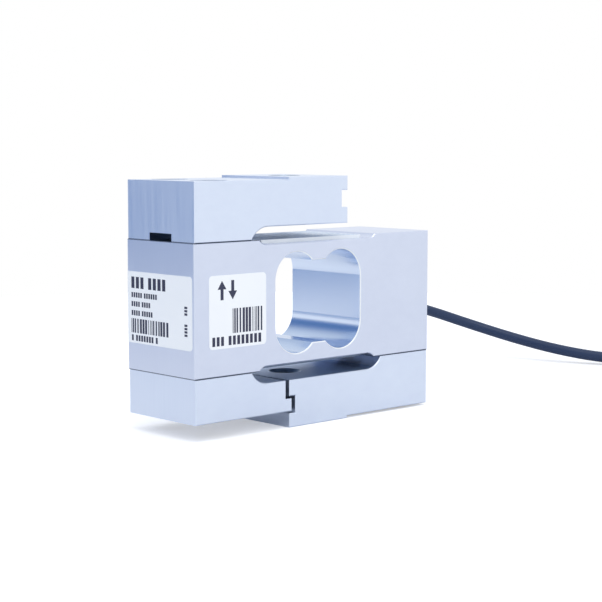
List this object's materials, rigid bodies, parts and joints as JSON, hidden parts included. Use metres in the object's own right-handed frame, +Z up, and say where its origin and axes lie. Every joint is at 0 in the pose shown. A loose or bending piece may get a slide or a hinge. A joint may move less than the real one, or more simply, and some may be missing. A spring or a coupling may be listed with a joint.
{
  "type": "s type load cell",
  "caption": "S-shaped aluminium load cell: binocular measuring beam between two offset threaded arms, overload stop and signal cable.",
  "frame": {"origin": "bottom centre of the metal body, on the force axis, at the face of the lower pad", "axes": "+X along the 80 mm length towards the cable entry, +Y from the labelled front face to the back, +Z up along the force axis"},
  "size_m": [0.2415, 0.0929, 0.062],
  "materials": {
    "beam_aluminium": "ground satin, clear anodised",
    "arm_aluminium": "ground satin, clear anodised",
    "screw_steel": "bright",
    "gauge_foil": "matte film",
    "terminal_board": "matte",
    "gauge_leads": "enamel",
    "sealing_compound": "grainy silver grey",
    "label_film": "satin film",
    "grommet_rubber": "matte",
    "cable_jacket": "satin",
    "tie_plastic": "satin",
    "sleeve_plastic": "satin",
    "core_white": "satin",
    "core_black": "satin",
    "core_blue": "satin",
    "core_red": "satin",
    "core_green": "satin",
    "core_grey": "satin"
  },
  "bodies": {
    "root": {"spring_element": "beam_aluminium", "upper_arm": "arm_aluminium", "lower_arm": "arm_aluminium", "stop_block": "arm_aluminium", "upper_arm_screw_1": "screw_steel", "upper_arm_screw_2": "screw_steel", "lower_arm_screw_1": "screw_steel", "lower_arm_screw_2": "screw_steel", "stop_block_screw_1": "screw_steel", "stop_block_screw_2": "screw_steel", "strain_gauge_top_left": "gauge_foil", "strain_gauge_top_right": "gauge_foil", "strain_gauge_bottom_left": "gauge_foil", "strain_gauge_bottom_right": "gauge_foil", "terminal_board_top": "terminal_board", "terminal_board_bottom": "terminal_board", "gauge_leads_top": "gauge_leads", "gauge_leads_bottom": "gauge_leads", "gauge_cover_top": "sealing_compound", "gauge_cover_bottom": "sealing_compound", "front_label": "label_film", "end_label": "label_film", "cable_grommet": "grommet_rubber", "cable": "cable_jacket", "cable_coil": "cable_jacket", "cable_tail": "cable_jacket", "cable_tie": "tie_plastic", "cable_end_sleeve": "sleeve_plastic", "core_white": "core_white", "core_black": "core_black", "core_blue": "core_blue", "core_red": "core_red", "core_green": "core_green", "core_grey": "core_grey"}
  },
  "joints": []
}
